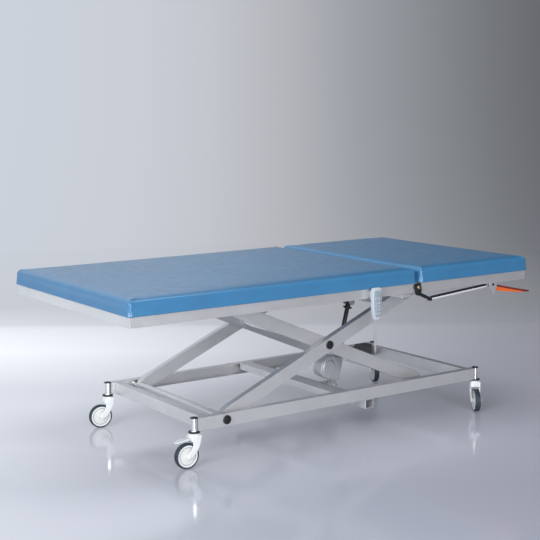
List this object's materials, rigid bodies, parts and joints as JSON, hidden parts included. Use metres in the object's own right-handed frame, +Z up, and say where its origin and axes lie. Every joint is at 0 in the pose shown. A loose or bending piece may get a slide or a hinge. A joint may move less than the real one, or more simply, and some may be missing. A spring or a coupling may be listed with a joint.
{
  "type": "medical exam table",
  "caption": "Height-adjustable exam table with a scissor lift, a hinged back section, blue padded top, swivel casters and a wired handset.",
  "frame": {"origin": "centre of the bounding box, on the floor plane", "axes": "+X towards the head end, where the hinged back section is; +Y to the side away from the handset; +Z up"},
  "size_m": [2.041, 1.035, 0.704],
  "materials": {
    "frame": "satin silver-grey powder coat",
    "steel": "bright zinc-plated steel",
    "black_metal": "satin black",
    "black_plastic": "matte black",
    "cushion": "smooth blue coated upholstery over foam",
    "board": "plywood with a black backing cloth",
    "housing": "light grey satin moulding",
    "chrome": "polished",
    "lever": "orange satin coat",
    "handset": "pale blue-grey satin moulding",
    "button": "matte",
    "cord": "light grey satin sheath",
    "caster": "white satin moulding",
    "tyre": "dark blue-grey rubber"
  },
  "bodies": {
    "base": {"base_rail_front": "frame", "base_rail_back": "frame", "corner_post_front_foot": "frame", "corner_post_front_head": "frame", "corner_post_back_foot": "frame", "corner_post_back_head": "frame", "base_end_rail_foot": "frame", "base_end_rail_head": "frame", "base_cross_member": "frame", "actuator_beam": "frame", "lower_pivot_shaft": "black_metal", "power_unit": "black_plastic"},
    "outer_arms": {"outer_arm_front": "frame", "outer_arm_back": "frame", "outer_torque_tube": "frame", "outer_lift_tube": "frame", "upper_roller_shaft": "steel"},
    "inner_arms": {"inner_arm_front": "frame", "inner_arm_back": "frame", "lower_roller_shaft": "steel", "centre_pivot_shaft": "black_metal"},
    "platform": {"platform_rail_front": "frame", "platform_rail_back": "frame", "platform_end_rail": "frame", "platform_cross_rail": "frame", "roller_channel_front": "frame", "roller_channel_back": "frame", "upper_pivot_shaft": "steel", "leg_board": "board", "leg_cushion": "cushion", "control_box": "black_plastic", "hinge_bracket_front": "black_metal", "hinge_bracket_back": "black_metal", "handset": "handset", "handset_cable": "cord"},
    "back_section": {"back_rail_front": "frame", "back_rail_back": "frame", "back_end_rail": "frame", "back_board": "board", "back_cushion": "cushion"},
    "lever": {"release_lever": "lever"},
    "actuator": {"actuator_body": "housing"},
    "spindle": {"actuator_rod": "black_metal"},
    "gas_cylinder": {"gas_spring_cylinder": "chrome"},
    "gas_rod": {"gas_spring_rod": "chrome"},
    "button_up": {"handset_button_up": "button"},
    "button_down": {"handset_button_down": "button"},
    "pedal": {"brake_pedal": "caster"},
    "caster_front_foot": {"caster_fork_front_foot": "caster"},
    "wheel_front_foot": {"wheel_core_front_foot": "caster", "tyre_front_foot": "tyre"},
    "caster_back_foot": {"caster_fork_back_foot": "caster"},
    "wheel_back_foot": {"wheel_core_back_foot": "caster", "tyre_back_foot": "tyre"},
    "caster_front_head": {"caster_fork_front_head": "caster"},
    "wheel_front_head": {"wheel_core_front_head": "caster", "tyre_front_head": "tyre"},
    "caster_back_head": {"caster_fork_back_head": "caster"},
    "wheel_back_head": {"wheel_core_back_head": "caster", "tyre_back_head": "tyre"}
  },
  "joints": [
    {"name": "swivel_front_foot", "type": "hinge", "parent": "base", "child": "caster_front_foot", "pos_m": [-0.6725, -0.3485, 0.12], "axis": [0, 0, 1], "continuous": true},
    {"name": "roll_front_foot", "type": "hinge", "parent": "caster_front_foot", "child": "wheel_front_foot", "pos_m": [-0.7075, -0.3485, 0.05], "axis": [0, 1, 0], "continuous": true},
    {"name": "swivel_back_foot", "type": "hinge", "parent": "base", "child": "caster_back_foot", "pos_m": [-0.6725, 0.3735, 0.12], "axis": [0, 0, 1], "continuous": true},
    {"name": "roll_back_foot", "type": "hinge", "parent": "caster_back_foot", "child": "wheel_back_foot", "pos_m": [-0.70716, 0.37837, 0.05], "axis": [0.1392, 0.9903, 0], "continuous": true},
    {"name": "swivel_front_head", "type": "hinge", "parent": "base", "child": "caster_front_head", "pos_m": [0.8105, -0.3485, 0.12], "axis": [0, 0, 1], "continuous": true},
    {"name": "roll_front_head", "type": "hinge", "parent": "caster_front_head", "child": "wheel_front_head", "pos_m": [0.79195, -0.37818, 0.05], "axis": [-0.848, 0.5299, 0], "continuous": true},
    {"name": "swivel_back_head", "type": "hinge", "parent": "base", "child": "caster_back_head", "pos_m": [0.8105, 0.3735, 0.12], "axis": [0, 0, 1], "continuous": true},
    {"name": "roll_back_head", "type": "hinge", "parent": "caster_back_head", "child": "wheel_back_head", "pos_m": [0.79626, 0.34153, 0.05], "axis": [-0.9135, 0.4067, 0], "continuous": true},
    {"name": "brake_pedal", "type": "hinge", "parent": "caster_front_foot", "child": "pedal", "pos_m": [-0.6995, -0.3485, 0.113], "axis": [0, -1, 0], "range_deg": [0, 12]},
    {"name": "lift", "type": "hinge", "parent": "base", "child": "outer_arms", "pos_m": [-0.5325, 0.0125, 0.168], "axis": [0, -1, 0], "range_deg": [-6.9, 8.3]},
    {"name": "scissor", "type": "hinge", "parent": "outer_arms", "child": "inner_arms", "pos_m": [-0.0035, 0.0125, 0.39335], "axis": [0, -1, 0], "range_deg": [-17, 14.2]},
    {"name": "platform_pivot", "type": "hinge", "parent": "inner_arms", "child": "platform", "pos_m": [-0.5325, 0.0125, 0.6187], "axis": [0, -1, 0], "range_deg": [-7.1, 8.5]},
    {"name": "actuator_tilt", "type": "hinge", "parent": "base", "child": "actuator", "pos_m": [0.2695, 0.0125, 0.122], "axis": [0, -1, 0], "range_deg": [-9.97, 11.89]},
    {"name": "actuator_extend", "type": "slide", "parent": "actuator", "child": "spindle", "axis": [0.2566, 0, 0.9665], "range_m": [-0.0954, 0.1144]},
    {"name": "back_hinge", "type": "hinge", "parent": "platform", "child": "back_section", "pos_m": [0.3405, 0.0125, 0.622], "axis": [0, -1, 0], "range_deg": [0, 65], "deforming": ["back_cushion"]},
    {"name": "gas_spring_tilt", "type": "hinge", "parent": "platform", "child": "gas_cylinder", "pos_m": [0.4125, -0.4655, 0.5635], "axis": [0, -1, 0], "range_deg": [0, 68.48]},
    {"name": "gas_spring_extend", "type": "slide", "parent": "gas_cylinder", "child": "gas_rod", "axis": [0.9973, 0, 0.0737], "range_m": [0, 0.0993]},
    {"name": "release_lever", "type": "hinge", "parent": "back_section", "child": "lever", "pos_m": [0.8145, -0.4655, 0.573], "axis": [0, -1, 0], "range_deg": [0, 8], "stiffness_Nm_per_rad": 6, "springref_deg": -8.59},
    {"name": "press_up", "type": "slide", "parent": "platform", "child": "button_up", "axis": [0, 1, 0], "range_m": [0, 0.0012], "stiffness_N_per_m": 400},
    {"name": "press_down", "type": "slide", "parent": "platform", "child": "button_down", "axis": [0, 1, 0], "range_m": [0, 0.0012], "stiffness_N_per_m": 400}
  ],
  "couplings": [
    {"joint": "scissor", "follows": "lift", "ratio": -2},
    {"joint": "platform_pivot", "follows": "lift", "ratio": 1},
    {"joint": "actuator_tilt", "follows": "lift", "ratio": 1.3719},
    {"joint": "actuator_extend", "follows": "lift", "m_per_rad": 0.77582},
    {"joint": "gas_spring_tilt", "follows": "back_hinge", "ratio": 1.0458},
    {"joint": "gas_spring_extend", "follows": "back_hinge", "m_per_rad": 0.085757}
  ]
}
